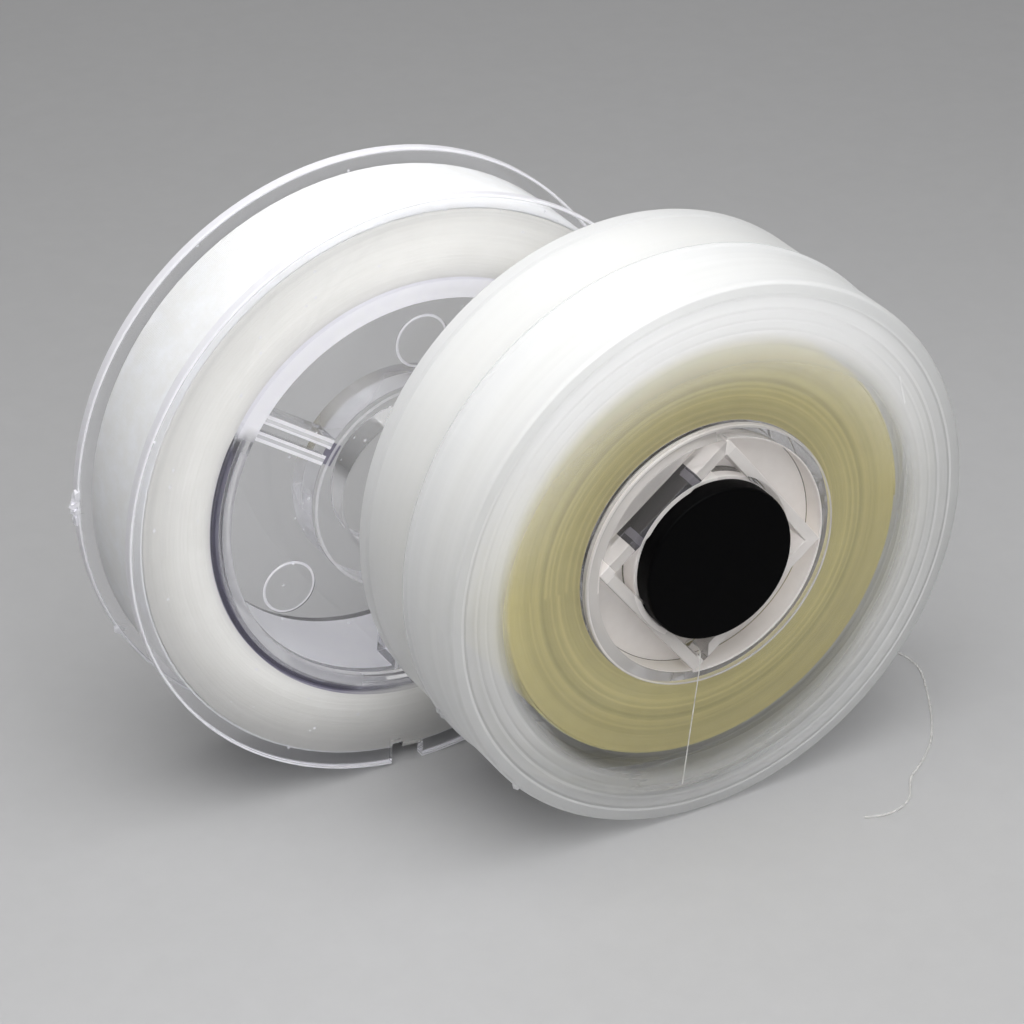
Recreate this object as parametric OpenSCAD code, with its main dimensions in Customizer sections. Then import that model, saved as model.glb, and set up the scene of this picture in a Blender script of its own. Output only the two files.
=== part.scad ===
// A pair of fishing line spools that stand on their rims side by side.
// The frame has its origin on the bore axis of the clear spool, half way along its width.
// Both axes lie along Y, the front faces look towards -Y, and +Z is up. Millimetres.

/* [Clear spool] */
// Diameter over the flanges
flange_d = 70; // [69:0.5:76]
// Overall width over both flanges
spool_w = 15; // [14:0.5:18]
// Thickness of a flange
flange_t = 1.2; // [1:0.1:1.5]
// Outside diameter of the drum that carries the line
drum_d = 50.4; // [49:0.2:54]
// Wall of the drum sleeve on the back half
drum_wall = 1.05; // [0.8:0.05:1.2]
// Wall of the collar on the front half, which plugs into the sleeve
collar_wall = 1; // [0.8:0.05:1.2]
// How far the web plate lies below the front face
web_drop = 1.2; // [0.8:0.1:2]
// Thickness of the web plate
web_t = 1.2; // [1:0.1:1.6]
// Outside diameter of the boss
boss_d = 24.9; // [22:0.1:28]
// Diameter of the spindle bore
bore_d = 17.5; // [16:0.1:19]
// Width of a stiffening rib behind the web
rib_w = 3; // [2:0.1:4]
// How far a rib reaches behind the web
rib_depth = 3.7; // [2:0.1:5]
// Width of the line-holding notch in the front rim
notch_w = 4; // [2:0.1:6]
// Depth of the notch
notch_depth = 2.1; // [1:0.1:3]

/* [Line on the clear spool] */
// Diameter over the wound line
clear_line_d = 66.8; // [64:0.2:68]
// Thickness of the tube that stands for the turns of the outer layer
clear_turn_d = 0.6; // [0.5:0.02:0.62]
// Turns in the outer layer
clear_turns = 10; // [6:1:10]

/* [How the pair stands] */
// Gap between the clear spool's front face and the case's back face
pair_gap = 3.85; // [2:0.05:10]
// Sideways distance between the two axes
pair_shift = 22.3; // [15:0.1:30]

/* [Case] */
// Outside diameter of the front shell
case_d = 65; // [64:0.5:70]
// Overall width of the case
case_w = 21.2; // [20:0.2:26]
// Wall of the shells
case_wall = 1.3; // [1:0.1:1.6]
// Thickness of the two faces
face_t = 1.2; // [1:0.1:1.6]
// How much less the back shell's radius is
shell_step = 0.3; // [0.1:0.05:0.5]
// Height of the ridge along the seam
ridge_h = 0.25; // [0.1:0.05:0.4]
// Width of the ridge
ridge_w = 0.7; // [0.4:0.1:1.2]
// Width of the rolled rim at the back face
rim_w = 1.8; // [1:0.1:3]
// How far the cove inside the front corner reaches, along the wall and across the face
cove_w = 1.9; // [1:0.1:2.5]
// Length of the lip that joins the shells
lip_len = 2; // [1:0.1:3]
// Wall of that lip
lip_wall = 0.9; // [0.7:0.05:1.2]
// Width of the slit in the seam that the line leaves by
slit_w = 0.6; // [0.5:0.05:1]

/* [Reel inside the case] */
// Outside diameter of the hub ring, which runs in the holes of the case
ring_d = 31.32; // [30:0.02:33]
// Wall of the hub ring
ring_wall = 1.56; // [1.2:0.02:1.8]
// How far the ring's ends lie below the faces of the case
ring_drop = 0.6; // [0.3:0.1:0.9]
// Diameter of the reel's own flanges
reel_flange_d = 51.6; // [51:0.2:56]
// Thickness of those flanges
reel_flange_t = 0.8; // [0.6:0.05:1]
// Running gap between a reel flange and the inside of the case
side_gap = 0.2; // [0.15:0.05:0.4]
// Running clearance of the ring in the case, on the radius
ring_fit = 0.06; // [0.04:0.01:0.1]
// Half of the side of the square frame round the boss
square_half = 10.05; // [9.75:0.05:10.35]
// Wall of the square frame
square_wall = 1.35; // [1:0.05:1.6]
// Outside diameter of the reel's bosses
hub_boss_d = 19; // [18.6:0.1:19.6]
// Diameter of the reel's bore
hub_bore_d = 16; // [15:0.1:16.6]
// Length of the boss on the front half
front_boss_len = 7; // [5:0.1:8]
// Length of the boss on the back half, which takes a spindle
back_boss_len = 7.4; // [6:0.1:8]
// How far the front boss ends below the hub ring
boss_drop = 0.5; // [0.2:0.1:1]
// How far the hub plates lie below the ends of the ring
plate_drop = 2.8; // [2:0.1:4]
// Thickness of the hub plates
plate_t = 1.2; // [1:0.1:1.6]

/* [Line on the reel] */
// Diameter over the wound line
reel_line_d = 50; // [46:0.2:50.6]
// Thickness of the tube that stands for the turns of the outer layer
reel_turn_d = 0.6; // [0.5:0.02:0.62]
// Turns in the outer layer
reel_turns = 14; // [8:1:14]

/* [Centre cap] */
// Diameter of the cap's head
cap_d = 18.3; // [17.6:0.1:19.5]
// Thickness of the head
cap_t = 2.3; // [1.5:0.1:3]
// Length of the stem in the bore
stem_len = 6; // [4:0.1:6.5]
// Clearance of the stem in the bore, on the radius
stem_fit = 0.05; // [0.03:0.01:0.1]

/* [Fits and line] */
// Clearance between the two halves of a hub or case where they plug together
plug_fit = 0.05; // [0.03:0.01:0.1]
// Gap left at each side of a wound core
core_gap = 0.05; // [0.03:0.01:0.1]
// Clearance round the cap's head where the square frame is cut back for it
cap_room = 0.15; // [0.1:0.05:0.3]
// Gap under the head of the seated cap
seat_gap = 0.05; // [0.03:0.01:0.1]
// Diameter of the fishing line where it lies loose
loose_d = 0.3; // [0.3:0.02:0.36]

/* [Hidden] */
$fn = 96;
// Small overlap that makes cuts pass right through
over = 0.5;

// Clear spool, with depths counted from its back face towards the front
drum_r = drum_d / 2;
sleeve_in_r = drum_r - drum_wall;
collar_r = sleeve_in_r - plug_fit;
collar_in_r = collar_r - collar_wall;
inner_face = spool_w - flange_t;
web_front = spool_w - web_drop;
web_back = web_front - web_t;
boss_proud = 0.1;
boss_front = web_front + boss_proud;
boss_back = spool_w / 2;
rib_angles = [26, 146, 266];
rib_groove_w = rib_w / 3;
rib_groove_depth = rib_depth / 3;
rib_groove_end = 0.8;
notch_angle = 266;
notch_step = 0.7;

// Case and reel, with depths counted from the case's back face towards the front
case_r = case_d / 2;
case_back_y = -spool_w / 2 - pair_gap;
case_axis_z = -flange_d / 2 + case_r + ridge_h;
seam_offset = 0.6;
seam = case_w / 2 + seam_offset;
shell_in_r = case_r - case_wall;
back_r = case_r - shell_step;
back_in_r = back_r - case_wall;
groove_h = 0.25;
rim_chamfer = 0.3;
lip_r = shell_in_r - plug_fit;
lip_in_r = lip_r - lip_wall;
hole_r = ring_d / 2 + ring_fit;
cove_depth = 2 * cove_w;
slit_angle = -70;
slit_rise = 0.3;
slit_h = ridge_w / 2 + ridge_h + slit_rise;

ring_r = ring_d / 2;
ring_in_r = ring_r - ring_wall;
ring_lo = ring_drop;
ring_hi = case_w - ring_drop;
reel_mid = case_w / 2;
reel_flange_lo = face_t + side_gap;
reel_flange_hi = case_w - face_t - side_gap;
line_lo = reel_flange_lo + reel_flange_t;
line_hi = reel_flange_hi - reel_flange_t;
plate_front = ring_hi - plate_drop;
plate_back = ring_lo + plate_drop;
hub_boss_front = ring_hi - boss_drop;
hub_boss_r = hub_boss_d / 2;
hub_bore_r = hub_bore_d / 2;
spigot_len = 2.5;
spigot_wall = 1;
square_turn = 38;
cap_seat = hub_boss_front + seat_gap;
cap_edge = 0.35;
cap_notch_angle = -159;
cap_notch_w = 1;
cap_notch_depth = 0.6;
cap_notch_h = 0.5;

// Wound tubes: rings in a turn, sides of a ring, and the bend that leads to a flange
turn_rings = 24;
turn_sides = 6;
lead_bend = 0.5;
lead_steps = 3;
clear_turns_angle = 40;

// Route of the loose tail on the table, as x and y, from below the slit to its bare end
tail_route = [
    [36.2, -22.2], [39, -20.8], [42.5, -18.9], [46, -17], [49.5, -15.2], [53, -13.8], [56.2, -13.4],
    [58.6, -14.4], [59.8, -16.4], [60.2, -18.7], [59.8, -21.2], [58.2, -24.6], [56.2, -28.2],
    [54.3, -31.2], [52.2, -33.9], [50.3, -35.7], [48.4, -37.2], [46, -38.8], [44.6, -40.6],
    [43.3, -42.2], [41.2, -43.3], [38.9, -43.5], [36.8, -42.8]
];

// Turns a shape drawn with depth along +Z so that its depth runs towards the front, along -Y
module in_spool() {
    translate([0, spool_w / 2, 0]) rotate([90, 0, 0]) children();
}

module in_case() {
    translate([pair_shift, case_back_y, case_axis_z]) rotate([90, 0, 0]) children();
}

// A plain ring between two radii and two depths
module ring(r_out, r_in, lo, hi) {
    translate([0, 0, lo]) difference() {
        cylinder(r = r_out, h = hi - lo);
        translate([0, 0, -over]) cylinder(r = r_in, h = hi - lo + 2 * over);
    }
}

// ---- tubes swept along points -------------------------------------------------------------

// Triangles of a closed tube with n rings of m corners
function tube_faces(n, m) = concat(
    [for (j = [1 : m - 2]) [0, j + 1, j]],
    [for (i = [0 : n - 2], j = [0 : m - 1]) [i * m + j, i * m + (j + 1) % m, (i + 1) * m + (j + 1) % m]],
    [for (i = [0 : n - 2], j = [0 : m - 1]) [i * m + j, (i + 1) * m + (j + 1) % m, (i + 1) * m + j]],
    [for (j = [1 : m - 2]) [(n - 1) * m, (n - 1) * m + j, (n - 1) * m + j + 1]]
);

// Path of a winding as [angle, depth, slope]: it leaves one flange square to it, turns into
// the first loop, climbs through all the loops and runs square into the other flange
function winding_path(r, lo, hi, turns, d) = let (
    first = lo + d + lead_bend,
    last = hi - d - lead_bend,
    per_mm = 180 / (PI * r),
    start = lead_bend * per_mm,
    steps = turns * turn_rings,
    stop = start + 360 * turns
) concat(
    [[0, lo, 90]],
    [for (k = [0 : lead_steps - 1]) let (t = 90 * k / lead_steps)
        [lead_bend * (1 - cos(t)) * per_mm, lo + d + lead_bend * sin(t), 90 - t]],
    [for (k = [0 : steps]) [start + 360 * k / turn_rings, first + (last - first) * k / steps, 0]],
    [for (k = [1 : lead_steps]) let (t = 90 * k / lead_steps)
        [stop + lead_bend * sin(t) * per_mm, last + lead_bend * (1 - cos(t)), t]],
    [[stop + lead_bend * per_mm, hi, 90]]
);

function on_drum(r, p) = [r * cos(p[0]), r * sin(p[0]), p[1]];

// Corners of one ring of a winding: one axis is radial, the other lies across the run
function winding_ring(r, d, p) = let (
    out = [cos(p[0]), sin(p[0]), 0],
    side = [sin(p[0]) * sin(p[2]), -cos(p[0]) * sin(p[2]), cos(p[2])]
) [for (j = [0 : turn_sides - 1]) let (a = 360 * j / turn_sides)
    on_drum(r, p) + d / 2 * (cos(a) * out + sin(a) * side)];

module winding(r, lo, hi, turns, d) {
    path = winding_path(r, lo, hi, turns, d);
    polyhedron(
        points = [for (p = path) each winding_ring(r, d, p)],
        faces = tube_faces(len(path), turn_sides)
    );
}

// Least distance between rings that lie more than half a turn apart, less the tube itself
function winding_gap(r, lo, hi, turns, d) = let (
    path = winding_path(r, lo, hi, turns, d),
    pts = [for (p = path) on_drum(r, p)],
    n = len(pts),
    far = turn_rings / 2
) min([for (i = [0 : n - far - 1]) min([for (j = [i + far : n - 1]) norm(pts[j] - pts[i])])]) - d;

// A loose line along points, with rings that stand square to its run
function unit(v) = v / norm(v);

function run_at(p, i) = unit(p[min(i + 1, len(p) - 1)] - p[max(i - 1, 0)]);

module loose_line(p, d, first_run, up) {
    m = 8;
    rings = [for (i = [0 : len(p) - 1]) let (
        run = i == 0 ? first_run : run_at(p, i),
        side = unit(cross(run, up)),
        top = cross(side, run)
    ) [for (j = [0 : m - 1]) let (a = 360 * (j + 0.5) / m) p[i] + d / 2 / cos(180 / m) * (cos(a) * side + sin(a) * top)]];
    polyhedron(points = [for (r = rings) each r], faces = tube_faces(len(p), m));
}

function path_length(p) = let (steps = [for (i = [1 : len(p) - 1]) norm(p[i] - p[i - 1])])
    steps * [for (s = steps) 1];

// Points of a smooth curve through the given ones
function smooth_at(a, b, c, d, t) = 0.5 * (2 * b + t * (c - a) + t * t * (2 * a - 5 * b + 4 * c - d)
    + t * t * t * (3 * b - a - 3 * c + d));

function smooth_path(p, n) = let (last = len(p) - 1) concat(
    [for (i = [0 : last - 1], k = [0 : n - 1])
        smooth_at(p[max(i - 1, 0)], p[i], p[i + 1], p[min(i + 2, last)], k / n)],
    [p[last]]
);

// ---- clear spool --------------------------------------------------------------------------

// Front flange, collar, web plate, boss and three ribs in one moulding
module rear_front_half() {
    color([0.86, 0.89, 0.93, 0.5]) in_spool() difference() {
        union() {
            rotate_extrude() polygon([
                [bore_d / 2, boss_back],
                [boss_d / 2, boss_back],
                [boss_d / 2, web_back],
                [collar_in_r, web_back],
                [collar_in_r, flange_t],
                [collar_r, flange_t],
                [collar_r, inner_face],
                [flange_d / 2, inner_face],
                [flange_d / 2, spool_w],
                [collar_in_r, spool_w],
                [collar_in_r, web_front],
                [boss_d / 2, web_front],
                [boss_d / 2, boss_front],
                [bore_d / 2, boss_front]
            ]);
            for (a = rib_angles) rotate([0, 0, a]) rib();
        }
        for (a = rib_angles) rotate([0, 0, a]) rib_groove();
        rim_notch();
    }
}

module rib() {
    from = boss_d / 2 - over;
    to = collar_in_r + over;
    translate([from, -rib_w / 2, web_back - rib_depth]) cube([to - from, rib_w, rib_depth + over]);
}

// The shallow channel along a rib, open to the front
module rib_groove() {
    from = boss_d / 2 + rib_groove_end;
    to = collar_in_r - rib_groove_end;
    translate([from, -rib_groove_w / 2, web_front - rib_groove_depth])
        cube([to - from, rib_groove_w, rib_groove_depth + over]);
}

// A stepped slot that holds the end of the line
module rim_notch() {
    at = flange_d / 2;
    rotate([0, 0, notch_angle]) {
        translate([at - notch_depth, -notch_w / 2, inner_face - over])
            cube([notch_depth + over, notch_w, flange_t + 2 * over]);
        translate([at - notch_depth - notch_step, -notch_w / 2, inner_face - over])
            cube([notch_depth, notch_w / 3, flange_t + 2 * over]);
    }
}

// Back flange and the sleeve that the line lies on
module rear_back_half() {
    color([0.83, 0.87, 0.92, 0.5]) in_spool() rotate_extrude() polygon([
        [collar_in_r, 0],
        [flange_d / 2, 0],
        [flange_d / 2, flange_t],
        [drum_r, flange_t],
        [drum_r, inner_face],
        [sleeve_in_r, inner_face],
        [sleeve_in_r, flange_t],
        [collar_in_r, flange_t]
    ]);
}

clear_core_r = clear_line_d / 2 - clear_turn_d - (clear_line_d / 2) * (1 - cos(180 / turn_rings)) - core_gap;
clear_turn_r = clear_line_d / 2 - clear_turn_d / 2;

// Inner layers of line
module rear_line_core() {
    color([0.95, 0.95, 0.93])
        in_spool() ring(clear_core_r, drum_r + core_gap, flange_t + core_gap, inner_face - core_gap);
}

// Outer layer of line, one unbroken tube
module rear_line_turns() {
    echo(rear_line_least_gap = winding_gap(clear_turn_r, flange_t, inner_face, clear_turns, clear_turn_d));
    color([0.97, 0.97, 0.96])
        in_spool() rotate([0, 0, clear_turns_angle]) winding(clear_turn_r, flange_t, inner_face, clear_turns, clear_turn_d);
}

// ---- case ---------------------------------------------------------------------------------

// Front face with its cove, and the skirt with half of the seam ridge
module case_front_shell() {
    color([0.9, 0.92, 0.93, 0.7]) in_case() difference() {
        rotate_extrude() polygon([
            [hole_r, case_w - face_t],
            [shell_in_r - cove_w, case_w - face_t],
            [shell_in_r, case_w - face_t - cove_depth],
            [shell_in_r, seam],
            [case_r + ridge_h, seam],
            [case_r + ridge_h, seam + ridge_w / 2],
            [case_r, seam + ridge_w / 2 + ridge_h],
            [case_r, case_w - rim_chamfer],
            [case_r - rim_chamfer, case_w],
            [hole_r, case_w]
        ]);
        line_slit();
    }
}

// The gap in the seam that the line comes out of
module line_slit() {
    rotate([0, 0, slit_angle]) translate([shell_in_r - over, -slit_w / 2, seam - over])
        cube([case_wall + ridge_h + 2 * over, slit_w, over + slit_h]);
}

// Back face, rolled rim, skirt and the lip that plugs into the front shell
module case_back_shell() {
    color([0.88, 0.9, 0.92, 0.7]) in_case() rotate_extrude() polygon([
        [hole_r, 0],
        [back_r - rim_chamfer, 0],
        [back_r, rim_chamfer],
        [back_r, rim_w],
        [back_r - groove_h, rim_w + groove_h],
        [back_r - groove_h, rim_w + 2 * groove_h],
        [back_r, rim_w + 3 * groove_h],
        [back_r, seam - ridge_w / 2],
        [case_r + ridge_h, seam - ridge_w / 2 + ridge_h],
        [case_r + ridge_h, seam],
        [lip_r, seam],
        [lip_r, seam + lip_len],
        [lip_in_r, seam + lip_len],
        [lip_in_r, seam - lip_len],
        [back_in_r, seam - lip_len - lip_wall],
        [back_in_r, face_t],
        [hole_r, face_t]
    ]);
}

// ---- reel ---------------------------------------------------------------------------------

// The frame's sides, cut back round the cap's head down to the top of the boss
module square_tube(lo, hi) {
    inner = square_half - square_wall;
    difference() {
        rotate([0, 0, square_turn]) translate([0, 0, lo]) linear_extrude(hi - lo) difference() {
            square(2 * square_half, center = true);
            square(2 * inner, center = true);
        }
        translate([0, 0, hub_boss_front]) cylinder(r = cap_d / 2 + cap_room, h = hi - lo);
    }
}

// Hub ring, flange, plate, square frame and boss of the front half, with the joining spigot
module reel_front_half() {
    color([0.85, 0.87, 0.88, 0.5]) in_case() union() {
        rotate_extrude() polygon([
            [hub_bore_r, hub_boss_front - front_boss_len],
            [hub_boss_r, hub_boss_front - front_boss_len],
            [hub_boss_r, plate_front - plate_t],
            [ring_in_r, plate_front - plate_t],
            [ring_in_r, reel_mid + spigot_len],
            [ring_in_r - spigot_wall, reel_mid + spigot_len],
            [ring_in_r - spigot_wall, reel_mid - spigot_len],
            [ring_in_r - plug_fit, reel_mid - spigot_len],
            [ring_in_r - plug_fit, reel_mid],
            [ring_r, reel_mid],
            [ring_r, line_hi],
            [reel_flange_d / 2, line_hi],
            [reel_flange_d / 2, reel_flange_hi],
            [ring_r, reel_flange_hi],
            [ring_r, ring_hi],
            [ring_in_r, ring_hi],
            [ring_in_r, plate_front],
            [hub_boss_r, plate_front],
            [hub_boss_r, hub_boss_front],
            [hub_bore_r, hub_boss_front]
        ]);
        square_tube(plate_front - plate_t / 2, ring_hi);
    }
}

// Hub ring, flange, plate and spindle boss of the back half
module reel_back_half() {
    color([0.83, 0.86, 0.88, 0.5]) in_case() rotate_extrude() polygon([
        [hub_bore_r, ring_lo],
        [hub_boss_r, ring_lo],
        [hub_boss_r, plate_back],
        [ring_in_r, plate_back],
        [ring_in_r, ring_lo],
        [ring_r, ring_lo],
        [ring_r, reel_flange_lo],
        [reel_flange_d / 2, reel_flange_lo],
        [reel_flange_d / 2, line_lo],
        [ring_r, line_lo],
        [ring_r, reel_mid],
        [ring_in_r, reel_mid],
        [ring_in_r, plate_back + plate_t],
        [hub_boss_r, plate_back + plate_t],
        [hub_boss_r, ring_lo + back_boss_len],
        [hub_bore_r, ring_lo + back_boss_len]
    ]);
}

reel_core_r = reel_line_d / 2 - reel_turn_d - (reel_line_d / 2) * (1 - cos(180 / turn_rings)) - core_gap;
reel_turn_r = reel_line_d / 2 - reel_turn_d / 2;

// Inner layers of line
module reel_line_core() {
    color([0.72, 0.7, 0.55]) in_case() ring(reel_core_r, ring_r + core_gap, line_lo + core_gap, line_hi - core_gap);
}

// Outer layer of line, one unbroken tube
module reel_line_turns() {
    echo(reel_line_least_gap = winding_gap(reel_turn_r, line_lo, line_hi, reel_turns, reel_turn_d));
    color([0.76, 0.73, 0.58]) in_case() winding(reel_turn_r, line_lo, line_hi, reel_turns, reel_turn_d);
}

// Inner end of the line: up out of a corner pocket and out across the front face
end_angle = -97;
end_lift = 0.1;
end_z = case_w + loose_d / 2 + end_lift;
end_route = [
    [10.9, plate_front], [10.9, plate_front + 1.6], [11.1, plate_front + 2.7], [11.8, end_z - 0.3],
    [13, end_z - 0.04], [14.4, end_z], [18, end_z], [22, end_z], [25.4, end_z], [28.2, end_z]
];

module reel_line_end() {
    p = [for (q = end_route) [q[0] * cos(end_angle), q[0] * sin(end_angle), q[1]]];
    across = [-sin(end_angle), cos(end_angle), 0];
    color([0.9, 0.9, 0.86]) in_case() loose_line(p, loose_d, [0, 0, 1], across);
}

// ---- centre cap and tail ------------------------------------------------------------------

// Round head on a stem, with a small pry notch under the edge of the head
module centre_cap() {
    color([0.05, 0.05, 0.06]) in_case() difference() {
        rotate_extrude() polygon([
            [0, cap_seat - stem_len],
            [hub_bore_r - stem_fit - cap_edge, cap_seat - stem_len],
            [hub_bore_r - stem_fit, cap_seat - stem_len + cap_edge],
            [hub_bore_r - stem_fit, cap_seat],
            [cap_d / 2, cap_seat],
            [cap_d / 2, cap_seat + cap_t - cap_edge],
            [cap_d / 2 - cap_edge, cap_seat + cap_t],
            [0, cap_seat + cap_t]
        ]);
        rotate([0, 0, cap_notch_angle]) translate([cap_d / 2 - cap_notch_depth, -cap_notch_w / 2, cap_seat - over])
            cube([cap_notch_depth + over, cap_notch_w, cap_notch_h + over]);
    }
}

// The loose tail: straight out of the slit, down to the table and along it
exit_r = case_r + ridge_h;
table_z = -flange_d / 2;
exit_dir = [cos(slit_angle), 0, sin(slit_angle)];
exit_at = [pair_shift, case_back_y - seam - slit_w / 2, case_axis_z] + exit_r * exit_dir;
tail_z = table_z + loose_d / 2;
tail_points = concat(
    [exit_at, exit_at + 0.5 * exit_dir, exit_at + [0.55, 0, -1.1], exit_at + [1.2, 0.05, tail_z - exit_at[2] + 0.12]],
    smooth_path([for (q = tail_route) [q[0], q[1], tail_z]], 3)
);

module line_tail() {
    echo(tail_length = path_length(tail_points));
    color([0.9, 0.9, 0.88]) loose_line(tail_points, loose_d, exit_dir, [0, 1, 0]);
}

rear_front_half();
rear_back_half();
rear_line_core();
rear_line_turns();
case_front_shell();
case_back_shell();
reel_front_half();
reel_back_half();
reel_line_core();
reel_line_turns();
reel_line_end();
centre_cap();
line_tail();
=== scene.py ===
import math
import bpy
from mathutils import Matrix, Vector


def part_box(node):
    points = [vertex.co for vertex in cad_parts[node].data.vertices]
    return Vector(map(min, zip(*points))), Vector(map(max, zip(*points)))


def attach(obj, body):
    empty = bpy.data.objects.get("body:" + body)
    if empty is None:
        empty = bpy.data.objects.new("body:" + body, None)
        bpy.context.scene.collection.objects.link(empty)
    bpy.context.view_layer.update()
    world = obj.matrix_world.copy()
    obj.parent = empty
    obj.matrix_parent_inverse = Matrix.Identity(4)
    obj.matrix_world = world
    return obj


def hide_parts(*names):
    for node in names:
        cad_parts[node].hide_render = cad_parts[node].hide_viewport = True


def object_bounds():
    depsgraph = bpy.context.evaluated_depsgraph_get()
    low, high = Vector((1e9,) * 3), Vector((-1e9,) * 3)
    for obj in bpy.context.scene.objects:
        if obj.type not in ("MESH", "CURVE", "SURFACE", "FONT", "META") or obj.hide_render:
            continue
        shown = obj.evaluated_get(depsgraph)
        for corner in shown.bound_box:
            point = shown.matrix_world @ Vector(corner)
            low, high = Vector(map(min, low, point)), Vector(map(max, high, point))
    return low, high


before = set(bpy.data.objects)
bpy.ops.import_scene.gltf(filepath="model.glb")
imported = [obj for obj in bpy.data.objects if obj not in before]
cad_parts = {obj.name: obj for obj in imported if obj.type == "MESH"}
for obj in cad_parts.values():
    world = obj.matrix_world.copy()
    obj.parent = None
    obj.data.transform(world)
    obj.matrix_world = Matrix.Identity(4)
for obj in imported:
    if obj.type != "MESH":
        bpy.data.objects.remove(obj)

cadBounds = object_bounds()
mm = 0.001
print("frame loaded:", len(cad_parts), "nodes")


# place in metres, turn in degrees, lens and sensor in mm
camera = {
    "place": (-0.15555, -0.30193, 0.19119),
    "turn": (59.79, 0, -29.56),
    "lens": 122.63,
    "sensor": 36,
    "nearClip": 0.01,
}


def addCamera():
    turn = [math.radians(angle) for angle in camera["turn"]]
    bpy.ops.object.camera_add(location=camera["place"], rotation=turn)
    lensObject = bpy.context.object
    lensObject.name = "spoolCamera"
    lensObject.data.lens = camera["lens"]
    lensObject.data.sensor_width = camera["sensor"]
    lensObject.data.clip_start = camera["nearClip"]
    bpy.context.scene.camera = lensObject


addCamera()


# where a spool stands, worked out from the frame
def placeOf(backNode, frontNode):
    low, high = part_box(backNode)
    return {
        "x": (low[0] + high[0]) / 2,
        "z": (low[2] + high[2]) / 2,
        "back": high[1],
        "width": high[1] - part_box(frontNode)[0][1],
        "radius": (high[0] - low[0]) / 2,
    }


rearPlace = placeOf("rear_back_half", "rear_front_half")
casePlace = placeOf("case_back_shell", "case_front_shell")
floorLevel = cadBounds[0][2]


# helpers for modelling
def deselectAll():
    if bpy.context.object and bpy.context.object.mode != "OBJECT":
        bpy.ops.object.mode_set(mode="OBJECT")
    bpy.ops.object.select_all(action="DESELECT")


def makeActive(piece):
    deselectAll()
    piece.select_set(True)
    bpy.context.view_layer.objects.active = piece


def named(name):
    piece = bpy.context.object
    piece.name = name
    piece.data.name = name
    return piece


def onSpool(place, radius, depth, angle=0.0):
    # a point in metres from a radius and a depth in mm, the depth counted from the back face
    turn = math.radians(angle)
    return Vector((
        place["x"] + radius * mm * math.cos(turn),
        place["back"] - depth * mm,
        place["z"] + radius * mm * math.sin(turn),
    ))


weldDistance = mm / 500


def closeSpin(centre, axis, steps):
    bpy.ops.mesh.select_all(action="SELECT")
    bpy.ops.mesh.remove_doubles(threshold=weldDistance)
    bpy.ops.mesh.spin(steps=steps, angle=2 * math.pi, center=centre, axis=axis)
    bpy.ops.mesh.select_all(action="SELECT")
    bpy.ops.mesh.remove_doubles(threshold=weldDistance)
    bpy.ops.mesh.normals_make_consistent(inside=False)
    bpy.ops.object.mode_set(mode="OBJECT")


def spinOutline(name, points, centre, steps):
    # an outline drawn by extruding one vertex from point to point, then spun round the axis along Y
    deselectAll()
    bpy.ops.mesh.primitive_plane_add(size=mm, location=points[0])
    bpy.ops.object.transform_apply(location=True, rotation=False, scale=False)
    bpy.ops.object.mode_set(mode="EDIT")
    bpy.ops.mesh.select_all(action="SELECT")
    bpy.ops.mesh.merge(type="CENTER")
    for here, there in zip(points, points[1:] + points[:1]):
        bpy.ops.mesh.extrude_region_move(TRANSFORM_OT_translate={"value": there - here})
    closeSpin(centre, (0, 1, 0), steps)
    return named(name)


def spinProfile(name, place, profile, steps=160):
    points = [onSpool(place, radius, depth) for radius, depth in profile]
    return spinOutline(name, points, (place["x"], 0, place["z"]), steps)


def bevelEdges(piece, width, segments=2, angle=35):
    makeActive(piece)
    edge = piece.modifiers.new("edges", "BEVEL")
    edge.width = width * mm
    edge.segments = segments
    edge.limit_method = "ANGLE"
    edge.angle_limit = math.radians(angle)
    bpy.ops.object.modifier_apply(modifier=edge.name)


def smoothShade(piece, angle=50):
    # round over the bevels, with flat faces kept flat beside them
    makeActive(piece)
    bpy.ops.object.shade_smooth_by_angle(angle=math.radians(angle))
    weights = piece.modifiers.new("weights", "WEIGHTED_NORMAL")
    weights.keep_sharp = True
    bpy.ops.object.modifier_apply(modifier=weights.name)


def combine(piece, other, operation):
    makeActive(piece)
    step = piece.modifiers.new("step", "BOOLEAN")
    step.operation = operation
    step.object = other
    step.solver = "EXACT"
    bpy.ops.object.modifier_apply(modifier=step.name)
    bpy.data.objects.remove(other)


past = 1.0    # how far a cutting block reaches past a surface, in mm


def slab(place, angle, inner, outer, width, low, high, side=0.0):
    # a box from radius inner to outer, between two depths, shifted sideways by side
    middle = onSpool(place, (inner + outer) / 2, (low + high) / 2, angle)
    turn = math.radians(angle)
    middle += Vector((-math.sin(turn), 0, math.cos(turn))) * side * mm
    deselectAll()
    bpy.ops.mesh.primitive_cube_add(
        size=1, location=middle, rotation=(0, -turn, 0),
        scale=((outer - inner) * mm, (high - low) * mm, width * mm))
    bpy.ops.object.transform_apply(location=True, rotation=True, scale=True)
    return bpy.context.object


def dressed(piece, look, body, slot, *nodes):
    piece.data.materials.clear()
    piece.data.materials.append(look.material)
    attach(piece, body)
    if nodes:
        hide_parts(*nodes)
    print("made", piece.name)


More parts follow.
